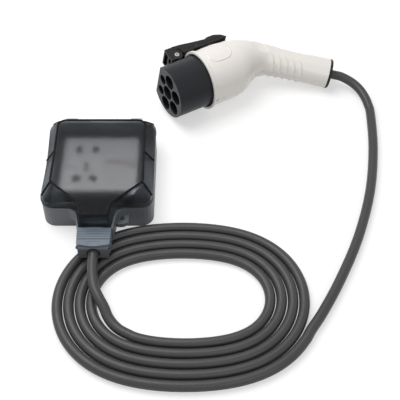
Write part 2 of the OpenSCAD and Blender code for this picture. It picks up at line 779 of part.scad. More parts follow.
module cord_clamp() {
  color("#d8d8d4") in_box()
    difference() {
      slab(-11, 11, -74.6, -67.4, clamp_z, clamp_z + 2.2);
      for (s = [-1, 1]) rod_z(1.4, clamp_z - 1, clamp_z + 3, s * 8.6, -71);
    }
}
module clamp_screw(s) {
  color("#b9bcc0") in_box() translate([s * 8.6, -71, clamp_z + 2.2]) screw(4.4, 2.4, 7);
}
module clamp_screw_left() { clamp_screw(-1); }
module clamp_screw_right() { clamp_screw(1); }
module hinge_pin_left() {
  color("#b9bcc0") in_box() rod_x(hinge_pin_d / 2, -hinge_half, 26 - hinge_half, hinge_y, hinge_z);
}
module hinge_pin_right() {
  color("#b9bcc0") in_box() rod_x(hinge_pin_d / 2, hinge_half - 26, hinge_half, hinge_y, hinge_z);
}
module clip_pin_left() {
  color("#b9bcc0") in_box() rod_x(clip_pin_d / 2, -neck_half - clip_wall, -9.2, clip_y, clip_z);
}
module clip_pin_right() {
  color("#b9bcc0") in_box() rod_x(clip_pin_d / 2, 9.2, neck_half + clip_wall, clip_y, clip_z);
}

// Socket in the box.

plate_y = -3;
module plate_plan(i) {
  polygon(rounded(mirrored([
    [plate_w / 2 - i, plate_y + plate_h / 2 - i, 4], [plate_w / 2 - i, plate_y - plate_h / 2 + i, 4]
  ])));
}
// Places of the sockets' holes as [x, y, turn, width, length].
HOLES = [
  [socket_x - 8.4, 17.2, 0, 2.4, 6.6], [socket_x + 8.4, 17.2, 0, 2.4, 6.6],
  [socket_x - 8.4, -22, -30, 2.6, 7.6], [socket_x + 8.4, -22, 30, 2.6, 7.6],
  [socket_x, -6, 0, 3, 13]
];
module holes(z0, z1) {
  for (h = HOLES)
    translate([h[0], h[1], z0]) rotate([0, 0, h[2]])
      slab(-h[3] / 2, h[3] / 2, -h[4] / 2, h[4] / 2, 0, z1 - z0);
  for (i = [0, 1]) rod_z(2.5, z0, z1, HOLES[i][0], HOLES[i][1]);
}
module rocker_room(z0, z1) {
  slab(rocker_x - rocker_w / 2 - move_gap, rocker_x + rocker_w / 2 + move_gap,
    rocker_y - rocker_l / 2 - 0.7, rocker_y + rocker_l / 2 + 0.7, z0, z1);
}
module socket_plate() {
  color("#e8e8e4") in_box()
    difference() {
      union() {
        translate([0, 0, core_top]) linear_extrude(plate_t - 0.8) plate_plan(0);
        translate([0, 0, plate_z - 0.8 - eps]) linear_extrude(0.8 + eps) plate_plan(0.8);
      }
      holes(core_top - 1, plate_z + 1);
      rocker_room(core_top - 1, plate_z + 1);
      for (s = [-1, 1]) {
        rod_z(2.1, core_top - 1, plate_z + 1, s * plate_screw_x, plate_y);
        rod_z(3.7, plate_z - 1.4, plate_z + 1, s * plate_screw_x, plate_y);
      }
    }
}
// Pocket of a contact as [x0, x1, y0, y1].
function contact_box(i) = [
  [socket_x + 4.2, socket_x + 12.6, -27, 22], [socket_x - 12.6, socket_x - 4.2, -27, 22],
  [socket_x - 3, socket_x + 3, -14, 2]
][i];
module contact(i, grow, z0, z1) {
  b = contact_box(i);
  slab(b[0] - grow, b[1] + grow, b[2] - grow, b[3] + grow, z0, z1);
}
module socket_core() {
  color("#3e4044") in_box()
    difference() {
      slab(4 - plate_w / 2, plate_w / 2 - 4, plate_y + 6 - plate_h / 2, plate_y - 6 + plate_h / 2, base_floor, core_top);
      for (i = [0:2]) contact(i, seat_gap, base_floor + 5, core_top + 1);
      rocker_room(core_top - 9, core_top + 1);
      rod_x(0.9 + seat_gap, rocker_x - rocker_w / 2 - 3, rocker_x + rocker_w / 2 + 3, rocker_y, rocker_z - 2);
      for (s = [-1, 1]) rod_z(1.6, core_top - 12, core_top + 1, s * plate_screw_x, plate_y);
    }
}
module contact_node(i) {
  color("#c9a14a") in_box()
    difference() {
      contact(i, 0, base_floor + 5, core_top - 6);
      holes(base_floor + 7, core_top - 5);
    }
}
module contact_live() { contact_node(0); }
module contact_neutral() { contact_node(1); }
module contact_earth() { contact_node(2); }
module plate_screw(s) {
  color("#b9bcc0") in_box() translate([s * plate_screw_x, plate_y, plate_z - 1.4]) screw(6.6, 3, 10);
}
module plate_screw_left() { plate_screw(-1); }
module plate_screw_right() { plate_screw(1); }
module rocker_pin() {
  color("#b9bcc0") in_box()
    rod_x(0.9, rocker_x - rocker_w / 2 - 2.6, rocker_x + rocker_w / 2 + 2.6, rocker_y, rocker_z - 2);
}
// The rocker stands tilted to its first side.
module in_rocker() {
  in_box() translate([rocker_x, rocker_y, rocker_z - 2]) rotate([rocker_tilt, 0, 0]) children();
}
module rocker_side() {
  polygon([
    [-rocker_l / 2, 2.4], [-rocker_l / 2, 5.6], [0, 4.6], [rocker_l / 2, 5.6], [rocker_l / 2, 2.4],
    [8, -2], [3, -4], [-3, -4], [-8, -2]
  ]);
}
module rocker() {
  color("#e8e8e4") in_rocker()
    difference() {
      rotate([90, 0, 90]) translate([0, 0, -rocker_w / 2]) linear_extrude(rocker_w) rocker_side();
      rod_x(0.9 + run_gap, -20, 20);
      lens_form(seat_gap);
    }
}
module lens_form(grow) {
  slab(-5.8 - grow, 5.8 + grow, 5.4 - grow, 8.6 + grow, 4.4 - grow, 5.3 + 4 * grow);
}
module rocker_lens() { color("#d98a80") in_rocker() lens_form(0); }

// Clip on the neck.

module clip() {
  out = neck_half + clip_wall;
  top = base_h + move_gap + clip_wall;
  color("#6b7480") in_box()
    difference() {
      union() {
        intersection() {
          slab(-out, out, -neck_end - 0.4, -tail_end - move_gap, clip_z - 9, top);
          // Plan with bowed ends.
          linear_extrude(60) polygon(rounded([
            [-out, -83.4, 1.5], [0, -tail_end - move_gap, 60], [out, -83.4, 1.5],
            [out - 0.8, -102.6, 2], [0, -neck_end - 0.4, 40], [-out + 0.8, -102.6, 2]
          ]));
          // Side view: cheeks cut back so that they swing clear of the neck's shoulder.
          rotate([90, 0, 90]) translate([0, 0, -30]) linear_extrude(60) polygon(rounded([
            [-neck_end - 0.5, clip_z - 9, 1], [-neck_end - 0.5, top, 1.2], [-tail_end - move_gap, top, 0.8],
            [-tail_end - move_gap, base_h, 0.4], [-tail_end - 2.4, clip_z - 3, 1],
            [-tail_end - 7, clip_z - 9, 1]
          ], 3));
        }
      }
      slab(-neck_half - move_gap / 2, neck_half + move_gap / 2, -neck_end - 5, -tail_end + 2,
        0, base_h + move_gap);
      // Valley and fine ribs across the thumb face.
      slab(-30, 30, 7.4 - neck_end, 9.2 - neck_end, top - 0.6, top + 1);
      for (i = [0:4])
        slab(-30, 30, 11.2 + 2 * i - neck_end, 11.7 + 2 * i - neck_end, top - 0.25, top + 1);
      for (s = [-1, 1])
        rod_x(clip_pin_d / 2 + run_gap, s > 0 ? 8 : -30, s > 0 ? 30 : -8, clip_y, clip_z);
    }
}

nose_block();
pin_earth();
pin_live();
pin_neutral();
pin_signal_a();
pin_signal_b();
tip_earth();
tip_live();
tip_neutral();
body_half_near();
body_half_far();
end_ring();
handle_gland();
top_strip();
shell_screw_1();
shell_screw_2();
shell_screw_3();
latch_bracket();
latch_pin();
latch_spring();
latch_lever();
latch_hook();
hook_screw();
cord_lead();
cord_coil();
cord_tail();
box_base();
box_seal();
box_gland();
cord_clamp();
clamp_screw_left();
clamp_screw_right();
hinge_pin_left();
hinge_pin_right();
clip_pin_left();
clip_pin_right();
socket_core();
socket_plate();
plate_screw_left();
plate_screw_right();
contact_live();
contact_neutral();
contact_earth();
rocker_pin();
lid();
clip();
rocker();
rocker_lens();
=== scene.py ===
import json
import math

import bmesh
import bpy
from bpy.props import FloatProperty, FloatVectorProperty, PointerProperty
from mathutils import Matrix, Vector
from mathutils.bvhtree import BVHTree


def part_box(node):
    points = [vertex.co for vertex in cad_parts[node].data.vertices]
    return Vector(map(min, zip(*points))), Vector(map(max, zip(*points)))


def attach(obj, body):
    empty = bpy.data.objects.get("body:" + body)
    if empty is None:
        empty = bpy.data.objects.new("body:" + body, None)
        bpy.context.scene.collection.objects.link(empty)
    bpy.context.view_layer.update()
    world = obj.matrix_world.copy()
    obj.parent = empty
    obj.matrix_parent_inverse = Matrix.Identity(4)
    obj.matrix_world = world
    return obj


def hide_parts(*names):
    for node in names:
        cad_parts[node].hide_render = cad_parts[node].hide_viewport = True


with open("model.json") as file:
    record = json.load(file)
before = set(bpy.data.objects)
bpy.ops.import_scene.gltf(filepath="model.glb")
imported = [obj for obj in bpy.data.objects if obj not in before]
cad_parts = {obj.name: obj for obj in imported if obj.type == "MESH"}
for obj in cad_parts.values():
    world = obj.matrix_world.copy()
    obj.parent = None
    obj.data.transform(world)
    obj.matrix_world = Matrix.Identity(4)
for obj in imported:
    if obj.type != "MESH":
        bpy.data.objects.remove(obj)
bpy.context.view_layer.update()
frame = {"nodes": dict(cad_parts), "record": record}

bl_info = {
    "name": "Vehicle-to-load adapter",
    "version": (1, 0, 0),
    "blender": (4, 5, 0),
    "location": "3D View > Sidebar > Adapter",
    "description": "Dresses the plug, its coiled cable and the socket box",
    "category": "Object",
}

NODES = frame["nodes"]
RECORD = frame["record"]
MM = 0.001


def named(rows, name):
    """The row with a name, from one of the record's lists."""
    return next(row for row in rows if row["name"] == name)


# The plug's own frame: its face's centre in millimetres, and the ways back, to the near side and up.
INLET = named(RECORD["mounts"], "vehicle_inlet")
NOSE_FACE = Vector(INLET["pos_m"]) / MM
NOSE_BACK = -Vector(INLET["axis"])
PLUG_SIDE = -Vector(named(RECORD["behaviour"]["joints"], "latch_pivot")["axis"])
PLUG_UP = PLUG_SIDE.cross(NOSE_BACK)
# The box's centre in plan, in millimetres.
BOX_ACROSS, BOX_MIDDLE = (v / MM for v in named(RECORD["mounts"], "box_back")["pos_m"][:2])


# Settings

def colour(label, text, value):
    """A colour property, written in linear values."""
    return FloatVectorProperty(name=label, description=text, default=value, subtype="COLOR", min=0, max=1)


def length(label, text, value):
    """A length property in metres."""
    return FloatProperty(name=label, description=text, default=value, unit="LENGTH", min=0, precision=5)


def amount(label, text, value, low=0.0, high=1.0):
    """A plain number between two limits."""
    return FloatProperty(name=label, description=text, default=value, min=low, max=high)


class ViewSettings(bpy.types.PropertyGroup):
    """Where the camera stands and looks"""
    target: FloatVectorProperty(
        name="Target", description="Point that the camera looks at", default=(0.003, -0.074, 0.015),
        subtype="TRANSLATION", unit="LENGTH")
    distance: length("Distance", "Distance from the target to the camera", 0.9)
    elevation: FloatProperty(
        name="Elevation", description="Angle of the camera above the floor", default=math.radians(50),
        subtype="ANGLE")
    lens: amount("Lens", "Focal length on a 36 mm sensor, in millimetres", 81.0, 10, 300)


class CableSettings(bpy.types.PropertyGroup):
    """Size, coil and colour of the cable"""
    diameter: length("Diameter", "Outside diameter of the cable", 10 * MM)
    pitch: length("Turn pitch", "Distance between turns of the coil", 10.6 * MM)
    coil_long: length("Coil half length", "Half length that the coil is drawn out by", 40 * MM)
    coil_tall: length("Coil half height", "Half height that the coil is drawn out by", 10 * MM)
    coil_radius: length("Coil radius", "Radius of the first turn at its start", 37 * MM)
    first: amount("First turn", "Angle at which the first turn starts, in degrees", 250, 0, 360)
    last: amount("Last turn", "Angle at which the last turn ends, in degrees", 1770, 360, 3600)
    step: amount("Step", "Angle between points of the coil, in degrees", 2.5, 0.5, 30)
    rubber: colour("Rubber", "Colour of the cable's jacket", (0.043, 0.0432, 0.044))


class PlugSettings(bpy.types.PropertyGroup):
    """Colours of the plug"""
    nose: colour("Nose", "Colour of the nose block", (0.0115, 0.0135, 0.0165))
    # Painted light: the nose's front face is coloured paler than its sides, as where it faces the lamps.
    face: colour("Face", "Colour of the nose block's painted_lit face", (0.03, 0.035, 0.043))
    body: colour("Body", "Colour of the moulded body", (0.88, 0.84, 0.792))
    lever: colour("Lever", "Colour of the latch lever", (0.012, 0.0102, 0.0092))
    trim: colour("Trim", "Colour of the end ring and the latch's bracket", (0.009, 0.01, 0.011))
    tip: colour("Earth tip", "Colour of the earth pin's tip", (0.82, 0.82, 0.8))


class BoxSettings(bpy.types.PropertyGroup):
    """Colours of the socket box and the width of its lines"""
    base: colour("Base", "Colour of the box's base", (0.12, 0.13, 0.14))
    # Painted shade: the colour that darkens the base's floor and walls under the lid.
    inside: colour("Inside", "Colour of the base's floor under the lid", (0.11, 0.12, 0.135))
    lid: colour("Lid", "Colour of the smoked lid", (0.4, 0.405, 0.42))
    skirt: colour("Skirt", "Colour of the lid's sloping skirt", (0.54, 0.57, 0.61))
    # Painted shade: the lid's colour over the neck, standing in for the shade of the deep inside under it.
    painted_neck_shade: colour("Neck", "Colour of the lid over the neck, with nothing pale under it", (0.028, 0.038, 0.055))
    seam: colour("Lines", "Colour of the lines round the window", (0.006, 0.007, 0.008))
    seam_width: length("Line width", "Width of the lines round the window", 2.4 * MM)
    clip: colour("Clip", "Colour of the clip", (0.125, 0.155, 0.19))
    plate: colour("Plate", "Colour of the socket plate and the rocker", (0.6, 0.59, 0.575))
    lens: colour("Indicator", "Colour of the rocker's lens", (0.45, 0.27, 0.23))


class StageSettings(bpy.types.PropertyGroup):
    """Light and floor"""
    key: amount("Key lamp", "Power of the large lamp above, in watts", 7.5, 0, 1000)
    fill: amount("Fill lamp", "Power of the lamp at the front, in watts", 1.5, 0, 1000)
    world: amount("Sky", "Strength of the even light all round", 0.4, 0, 10)
    floor: colour("Floor", "Colour of the floor", (0.6, 0.6, 0.6))
    floor_lift: amount("Floor lift", "Glow that brings the seen floor up to white", 0.5)


# Shader nodes

def feed(link, socket, value):
    """Gives a node's socket a link from another socket, or a plain value."""
    if isinstance(value, bpy.types.NodeSocket):
        link(value, socket)
    else:
        socket.default_value = value


def object_place(nodes):
    """Coordinates that stay on the piece when its body moves."""
    return nodes.new("ShaderNodeTexCoord").outputs["Object"]


def noise(nodes, link, where, scale, detail, rough=0.55):
    """Noise with a scale per metre at the given coordinates."""
    node = nodes.new("ShaderNodeTexNoise")
    for label, value in (("Vector", where), ("Scale", scale), ("Detail", detail), ("Roughness", rough)):
        feed(link, node.inputs[label], value)
    return node.outputs["Fac"]


def math_node(nodes, link, operation, a, b):
    """One calculation with two values."""
    node = nodes.new("ShaderNodeMath")
    node.operation = operation
    feed(link, node.inputs[0], a)
    feed(link, node.inputs[1], b)
    return node.outputs[0]


def joined(nodes, link, operation, masks):
    """Masks joined one after another: any of them counts by MAXIMUM, all do by MINIMUM."""
    whole = masks[0]
    for mask in masks[1:]:
        whole = math_node(nodes, link, operation, whole, mask)
    return whole


def span(nodes, link, value, low, high, to_low=0.0, to_high=1.0):
    """Maps a value from one range to another and clamps it."""
    node = nodes.new("ShaderNodeMapRange")
    limits = (("From Min", low), ("From Max", high), ("To Min", to_low), ("To Max", to_high))
    for label, given in (("Value", value), *limits):
        feed(link, node.inputs[label], given)
    return node.outputs["Result"]


def tint(nodes, link, factor, a, b):
    """Mixes two colours."""
    node = nodes.new("ShaderNodeMix")
    node.data_type = "RGBA"
    for label, value in (("Factor", factor), ("A", a), ("B", b)):
        feed(link, node.inputs[label], value)
    return node.outputs["Result"]


def seen_rays(nodes, link):
    """1 on rays from the camera and on those that gloss or glass sends on, and 0 on the rest."""
    path = nodes.new("ShaderNodeLightPath").outputs
    kinds = ("Is Camera Ray", "Is Glossy Ray", "Is Transmission Ray")
    return joined(nodes, link, "MAXIMUM", [path[kind] for kind in kinds])


def socket_group(name, inputs, outputs, build):
    """A node group with named sockets, built once. build(nodes, link, inlet, outlet) fills it."""
    group = bpy.data.node_groups.get(name)
    if group:
        return group
    group = bpy.data.node_groups.new(name, "ShaderNodeTree")
    for label, kind, value in inputs:
        group.interface.new_socket(label, in_out="INPUT", socket_type=kind).default_value = value
    for label, kind in outputs:
        group.interface.new_socket(label, in_out="OUTPUT", socket_type=kind)
    nodes = group.nodes
    build(nodes, group.links.new, nodes.new("NodeGroupInput"), nodes.new("NodeGroupOutput"))
    return group


# Materials

# Spots per metre of the colour's mottle and of the uneven gloss, and the depth of the grain in metres.
MOTTLE_SCALE = 38.0
GLOSS_SCALE = 90.0
GRAIN_DEPTH = 0.0001
COAT_ROUGHNESS = 0.12
GREY = (0.5, 0.5, 0.5, 1)


def moulded_group():
    """Moulded plastic or rubber: colour mottle, uneven gloss and a fine grain with softened edges."""
    def build(nodes, link, inlet, outlet):
        given = inlet.outputs
        where = object_place(nodes)
        mottle = span(nodes, link, noise(nodes, link, where, MOTTLE_SCALE, detail=4.0), 0.35, 0.7)
        link(tint(nodes, link, mottle, given["Colour"], given["Second Colour"]), outlet.inputs["Colour"])
        gloss = noise(nodes, link, where, GLOSS_SCALE, detail=5.0, rough=0.65)
        low = given["Roughness"]
        high = math_node(nodes, link, "ADD", low, given["Roughness Spread"])
        link(span(nodes, link, gloss, 0.3, 0.72, low, high), outlet.inputs["Roughness"])
        bevel = nodes.new("ShaderNodeBevel")
        bevel.samples = 6
        link(given["Edge"], bevel.inputs["Radius"])
        bump = nodes.new("ShaderNodeBump")
        bump.inputs["Distance"].default_value = GRAIN_DEPTH
        link(given["Grain"], bump.inputs["Strength"])
        grain = noise(nodes, link, where, given["Grain Scale"], detail=2.0, rough=0.6)
        link(grain, bump.inputs["Height"])
        link(bevel.outputs["Normal"], bump.inputs["Normal"])
        link(bump.outputs["Normal"], outlet.inputs["Normal"])
    return socket_group(
        "Moulded surface",
        [("Colour", "NodeSocketColor", GREY), ("Second Colour", "NodeSocketColor", GREY),
         ("Roughness", "NodeSocketFloat", 0.4), ("Roughness Spread", "NodeSocketFloat", 0.08),
         ("Grain Scale", "NodeSocketFloat", 1800.0), ("Grain", "NodeSocketFloat", 0.2),
         ("Edge", "NodeSocketFloat", 0.0003)],
        [("Colour", "NodeSocketColor"), ("Roughness", "NodeSocketFloat"), ("Normal", "NodeSocketVector")],
        build)


def scaled(rgb, factor):
    """A colour made darker or lighter, and no lighter than white."""
    return tuple(min(1, c * factor) for c in rgb)


def moulded(name, rgb, rough=0.4, second=1.12, spread=0.08, grain=0.2, scale=1800.0, edge=0.0003,
            coat=0.0, specular=0.5):
    """A plastic or rubber material on the moulded surface group. second is its mottle's share of rgb."""
    made = bpy.data.materials.new(name)
    made.use_nodes = True
    tree = made.node_tree
    shader = tree.nodes["Principled BSDF"]
    group = tree.nodes.new("ShaderNodeGroup")
    group.node_tree = moulded_group()
    for label, value in (
        ("Colour", (*rgb, 1)), ("Second Colour", (*scaled(rgb, second), 1)), ("Roughness", rough),
        ("Roughness Spread", spread), ("Grain", grain), ("Grain Scale", scale), ("Edge", edge),
    ):
        group.inputs[label].default_value = value
    for label, socket in (("Colour", "Base Color"), ("Roughness", "Roughness"), ("Normal", "Normal")):
        tree.links.new(group.outputs[label], shader.inputs[socket])
    shader.inputs["Specular IOR Level"].default_value = specular
    shader.inputs["Coat Weight"].default_value = coat
    shader.inputs["Coat Roughness"].default_value = COAT_ROUGHNESS
    return made


def metal(name, rgb, rough=0.25):
    """Turned or plated metal with fine uneven gloss."""
    made = moulded(name, rgb, rough=rough, spread=0.12, grain=0.12, scale=2500.0, edge=0.00015)
    made.node_tree.nodes["Principled BSDF"].inputs["Metallic"].default_value = 1.0
    return made


def recolour(made, mask, rgb):
    """Lays another colour over a moulded material's own where a mask says so."""
    nodes, link = made.node_tree.nodes, made.node_tree.links.new
    group = next(node for node in nodes if node.type == "GROUP")
    mixed = tint(nodes, link, mask, group.outputs["Colour"], (*rgb, 1))
    link(mixed, nodes["Principled BSDF"].inputs["Base Color"])
    return made


# Pieces

# Points of a faceted piece closer than this, in metres, are one.
WELD = 2e-6


def dress(names, made):
    """Gives CAD pieces a material."""
    for name in names:
        materials = NODES[name].data.materials
        materials.clear()
        materials.append(made)


def body_of(name):
    """Name of the body that carries a CAD piece."""
    return next(body for body, pieces in RECORD["behaviour"]["bodies"].items() if name in pieces)


def surface_tree(mesh):
    """Search tree of a mesh's surface."""
    return BVHTree.FromPolygons([v.co for v in mesh.vertices], [list(p.vertices) for p in mesh.polygons])


def rounded_copy(name, made, crease=32.0):
    """Takes a faceted CAD piece's place with a copy whose facets are shaded as one surface."""
    source = NODES[name].data
    mesh = bpy.data.meshes.new(name + "_skin")
    mesh.from_pydata([v.co for v in source.vertices], [], [list(p.vertices) for p in source.polygons])
    work = bmesh.new()
    work.from_mesh(mesh)
    bmesh.ops.remove_doubles(work, verts=work.verts, dist=WELD)
    return skin_of(name, mesh, work, made, crease)


def skin_of(name, mesh, work, made, crease):
    """Shades a mesh as one surface but at folds of crease degrees, and lets it stand for a CAD piece."""
    for face in work.faces:
        face.smooth = True
    for edge in work.edges:
        edge.smooth = edge.is_manifold and edge.calc_face_angle(0) < math.radians(crease)
    work.to_mesh(mesh)
    work.free()
    piece = bpy.data.objects.new(name + "_skin", mesh)
    bpy.context.scene.collection.objects.link(piece)
    mesh.materials.append(made)
    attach(piece, body_of(name))
    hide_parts(name)
    return piece


def draped(tree, points, step, sink):
    """Points laid on a surface from above along a plan line, closer than step, and sunk into it."""
    plan = []
    for a, b in zip(points, points[1:]):
        count = max(1, math.ceil((b - a).length / step))
        plan += [a.lerp(b, i / count) for i in range(count)]
    hits = [tree.ray_cast(Vector((at.x, at.y, 1)), Vector((0, 0, -1)))[0] for at in plan + points[-1:]]
    return [hit - Vector((0, 0, sink)) for hit in hits if hit]


def tube(name, paths, radius, made, fineness=2, closed=False):
    """A round line through each list of points, as one piece."""
    data = bpy.data.curves.new(name, "CURVE")
    data.dimensions = "3D"
    data.bevel_depth = radius
    data.bevel_resolution = fineness
    data.use_fill_caps = True
    for path in paths:
        spline = data.splines.new("POLY")
        spline.points.add(len(path) - 1)
        for point, at in zip(spline.points, path):
            point.co = (*at, 1)
        spline.use_cyclic_u = closed
    piece = bpy.data.objects.new(name, data)
    bpy.context.scene.collection.objects.link(piece)
    data.materials.append(made)
    return piece


def line_on(carrier, name, paths, radius, made, closed=False):
    """Thin lines that move with a CAD piece, in the material given."""
    piece = tube(name, paths, radius, made, closed=closed)
    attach(piece, body_of(carrier))
    return piece


# Curves

def between(a, b, c, d, t):
    """Catmull-Rom value at a share t of the way from b to c, with a before them and d after."""
    square, cube = 2 * a - 5 * b + 4 * c - d, 3 * b - a - 3 * c + d
    return 0.5 * (2 * b + (c - a) * t + square * t * t + cube * t ** 3)


def smooth_path(points, steps):
    """A curve through points, with as many steps from each to the next."""
    p = [2 * points[0] - points[1]] + points + [2 * points[-1] - points[-2]]
    curve = [between(*p[i - 1:i + 3], k / steps) for i in range(1, len(p) - 2) for k in range(steps)]
    return curve + [points[-1]]


def curve_through(values, steps):
    """A curve through rows of numbers, with a count of steps up to each row but the first."""
    rows = [values[0]] + list(values) + [values[-1]]
    curve = [tuple(values[0])]
    for i, count in enumerate(steps, 1):
        for k in range(1, count + 1):
            curve.append(tuple(between(*four, k / count) for four in zip(*rows[i - 1:i + 3])))
    return curve


def facing(place, target):
    """World matrix of a camera or lamp at a place, pointed at a target."""
    return Matrix.Translation(place) @ (place - target).to_track_quat("Z", "Y").to_matrix().to_4x4()


# Camera and cable

class ADAPTER_OT_camera(bpy.types.Operator):
    """Set the camera at the photograph's angle"""
    bl_idname = "adapter.camera"
    bl_label = "Camera"

    def execute(self, context):
        s = context.scene.adapter_view
        data = bpy.data.cameras.new("camera")
        data.lens = s.lens
        data.sensor_width = 36.0
        data.sensor_fit = "HORIZONTAL"
        data.clip_start, data.clip_end = 0.01, 20
        target = Vector(s.target)
        place = target + s.distance * Vector((0, -math.cos(s.elevation), math.sin(s.elevation)))
        camera = bpy.data.objects.new("camera", data)
        context.scene.collection.objects.link(camera)
        camera.matrix_world = facing(place, target)
        context.scene.camera = camera
        return {"FINISHED"}


# Routes that the solids' cable follows, in millimetres: from the handle, and from the box to the coil.
LEAD_START = Vector((149.742, 111.089, 16.2325))
LEAD_WAY = Vector((0.977363, -0.130674, -0.16639))
LEAD = [
    (162.5, 108.2, 14.8), (173, 102.5, 12.4), (181.4, 94, 10), (187, 83, 7.8), (190, 71, 6), (191, 57, 5),
    (187.5, 6, 5), (177, -54, 5), (158, -114, 5), (135, -165, 5), (116, -200, 5),
]
TAIL = [
    (-98, -143.3, 19.1), (-98, -156, 19), (-97.1, -169, 18.6), (-94.4, -181.5, 16.6), (-89.4, -191.5, 14.6),
]
# How far along the lead's way out its first two points are.
LEAD_FIRST = (0.3, 6)
COIL_CENTRE = Vector((-12, -186, 0))
# Where the lead joins the coil: degrees past the last turn's end, and millimetres outside the turn.
COIL_IN = ((8, 0.7), (0.4, 0.3))
# Where the tail leaves it: the same before the first turn's start, and then angle, height and offset
# of the way that it comes down along the inside of the coil.
COIL_OUT = (-0.6, -0.3)
TAIL_DOWN, TAIL_INSIDE = [(201, 11.8), (213, 8.8), (225, 6.6), (237, 5.4)], -0.5
# Steps from each point of the lead and of the tail to the next.
LEAD_STEPS, TAIL_STEPS = 4, 3


def coil_point(s, angle, off=0.0, height=5.0):
    """Centre of the cable at an angle along the coil, in metres. off and height are in millimetres."""
    c, q = math.cos(math.radians(angle)), math.sin(math.radians(angle))
    m = math.hypot(s.coil_long * c, s.coil_tall * q)
    r = s.coil_radius + s.pitch * (angle - s.first) / 360 + off * MM
    out = Vector((s.coil_long ** 2 * c / m + r * c, s.coil_tall ** 2 * q / m + r * q, height * MM))
    return COIL_CENTRE * MM + out


def cable_route(s):
    """Points of the whole cable, from the handle round the coil to the box."""
    lead = [(LEAD_START + along * LEAD_WAY) * MM for along in LEAD_FIRST]
    lead += [Vector(p) * MM for p in LEAD]
    lead += [coil_point(s, s.last + past, off) for past, off in COIL_IN]
    coil = [coil_point(s, s.last - s.step * i) for i in range(1, int((s.last - s.first) / s.step))]
    tail = [coil_point(s, s.first + COIL_OUT[0], COIL_OUT[1])]
    tail += [coil_point(s, angle, TAIL_INSIDE, height) for angle, height in reversed(TAIL_DOWN)]
    tail += [Vector(p) * MM for p in reversed(TAIL)]
    return smooth_path(lead, LEAD_STEPS) + coil + smooth_path(tail, TAIL_STEPS)


class ADAPTER_OT_cable(bpy.types.Operator):
    """Lay the cable from the handle round the coil to the box"""
    bl_idname = "adapter.cable"
    bl_label = "Cable"

    def execute(self, context):
        s = context.scene.adapter_cable
        points = cable_route(s)
        made = moulded(
            "Cable rubber", s.rubber, rough=0.34, spread=0.1, grain=0.25, scale=2200, edge=0.0, specular=0.4)
        cable = tube("cable", [points], s.diameter / 2, made, fineness=6)
        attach(cable, "adapter")
        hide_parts("cord_lead", "cord_coil", "cord_tail")
        return {"FINISHED"}


# Plug

def nose_material(s):
    """Nose plastic, with the front face painted a little paler than the sides and the wells, as painted light
    where it faces the lamps.
    """
    made = moulded("Nose plastic", s.nose, rough=0.32, grain=0.3, scale=2600, edge=0.0006, specular=0.22)
    nodes, link = made.node_tree.nodes, made.node_tree.links.new
    back = nodes.new("ShaderNodeVectorMath")
    back.operation = "DOT_PRODUCT"
    link(object_place(nodes), back.inputs[0])
    back.inputs[1].default_value = NOSE_BACK
    depth = math_node(nodes, link, "SUBTRACT", back.outputs["Value"], NOSE_FACE.dot(NOSE_BACK) * MM)
    # Painted light: the front face, within its first 0.3 to 0.6 mm, takes the paler face colour.
    return recolour(made, span(nodes, link, depth, 0.3 * MM, 0.6 * MM, 1.0, 0.0), s.face)


class ADAPTER_OT_nose(bpy.types.Operator):
    """Finish the nose block and its pins"""
    bl_idname = "adapter.nose"
    bl_label = "Nose and pins"

    def execute(self, context):
        s = context.scene.adapter_plug
        pins = ["pin_earth", "pin_live", "pin_neutral", "pin_signal_a", "pin_signal_b"]
        dress(["nose_block"], nose_material(s))
        dress(pins, metal("Pin plating", (0.8, 0.78, 0.72), rough=0.2))
        dress(["tip_earth"], moulded("Earth tip", s.tip, rough=0.3, grain=0.1))
        dress(["tip_live", "tip_neutral"], moulded("Contact tip", s.trim, rough=0.35, grain=0.1))
        return {"FINISHED"}


# The root of the handle's axis, as back and up in millimetres, and its angle in degrees.
GRIP_ROOT = (119.8, -2.1)
GRIP_TILT = 40


def grip_section(along, high, wide, steps):
    """A section of the handle at a distance along its axis, as in SECTIONS."""
    lean = math.radians(GRIP_TILT)
    back, up = GRIP_ROOT[0] + along * math.cos(lean), GRIP_ROOT[1] - along * math.sin(lean)
    return (back, up, GRIP_TILT, high, wide, steps)


# Sections of the plug's body, as back, up, tilt, half height and half width. Those behind the rim also
# have the number of rings that lead up to them.
RIM = [(40, 0, 0, 32.6, 32.6), (40.3, 0, 0, 33, 33), (42.6, 0, 0, 33, 33), (43.3, 0, 0, 31.7, 31.7)]
SECTIONS = [
    (44.2, 0, 0, 31.5, 31.5, 1), (56.2, 0, 0, 31.5, 31.5, 4), (72, 0, 1, 31.4, 31.1, 6),
    (85, 0.3, 5, 30.5, 29.7, 8), (96, 0.3, 12, 27.3, 27.1, 10), (107, -0.2, 21, 22.5, 23.3, 14),
    (117.3, -3, 31, 18.3, 20.1, 14), grip_section(9, 16.4, 17.7, 14), grip_section(24, 15.6, 16.4, 18),
    grip_section(42, 15.4, 16, 22), grip_section(60, 16.1, 16.3, 22), grip_section(78, 16.5, 16.5, 20),
]
# Angles round a section of the near half, from its upper seam to its lower one.
TURNS = [90, 90.5] + [90 + 2.5 * i for i in range(1, 72)] + [269.5, 270]
WALL = 2.5
# The groove between the halves: where it starts behind the rim, and its depth.
GROOVE_START, GROOVE_DEPTH = 50, 0.25
# The dish at the handle's root: its centre along and across the handle, half sizes and depth.
DISH_CENTRE, DISH_HALF, DISH_DEPTH = (-4, 0.5), (10.5, 8), 1.5
# The finger ridges: each rises slowly towards an arc, drops behind it and fades out near its upper end.
RIDGE_COUNT, RIDGE_PITCH, RIDGE_HEIGHT = 5, 8, 0.9
RIDGE_RISE, RIDGE_DROP = 5, 1
RIDGE_ARC, RIDGE_MIDDLE = 15, -15.5
RIDGE_END, RIDGE_FADE = -0.5, 4
# Nothing in front of this place is dished or ridged.
RELIEF_START = 90
